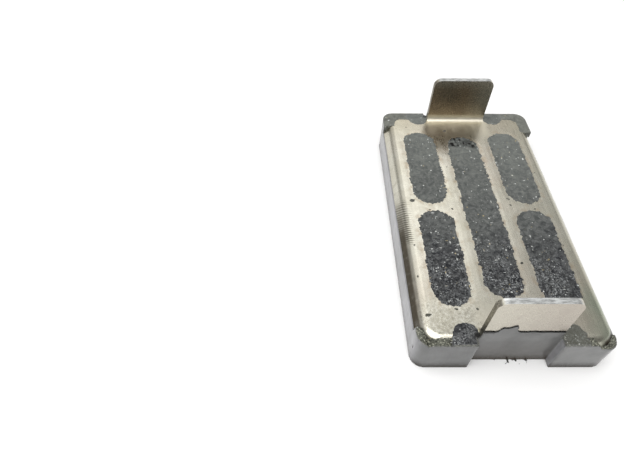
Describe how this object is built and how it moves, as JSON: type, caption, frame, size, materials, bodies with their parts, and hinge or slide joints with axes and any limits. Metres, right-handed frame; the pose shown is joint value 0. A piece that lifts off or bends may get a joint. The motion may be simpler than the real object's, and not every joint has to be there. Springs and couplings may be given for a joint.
{
  "type": "brake pad",
  "caption": "Rectangular disc-brake pad: moulded friction block locked into a slotted pressed-steel backing frame with bent-up end tabs.",
  "frame": {"origin": "middle of the friction face, which is the underside of the pad as it lies", "axes": "+Y along the pad's length from one tab to the other, +X across the pad, +Z from the friction face to the steel back and up the tabs"},
  "size_m": [0.07, 0.125, 0.0388],
  "materials": {
    "backing_steel": "satin rolled steel, lightly stained",
    "bond_adhesive": "matt cured resin",
    "friction_composite": "matt moulded composite, ground on the friction face"
  },
  "bodies": {
    "root": {"backing_frame": "backing_steel", "bond_film": "bond_adhesive", "friction_block": "friction_composite"}
  },
  "joints": []
}
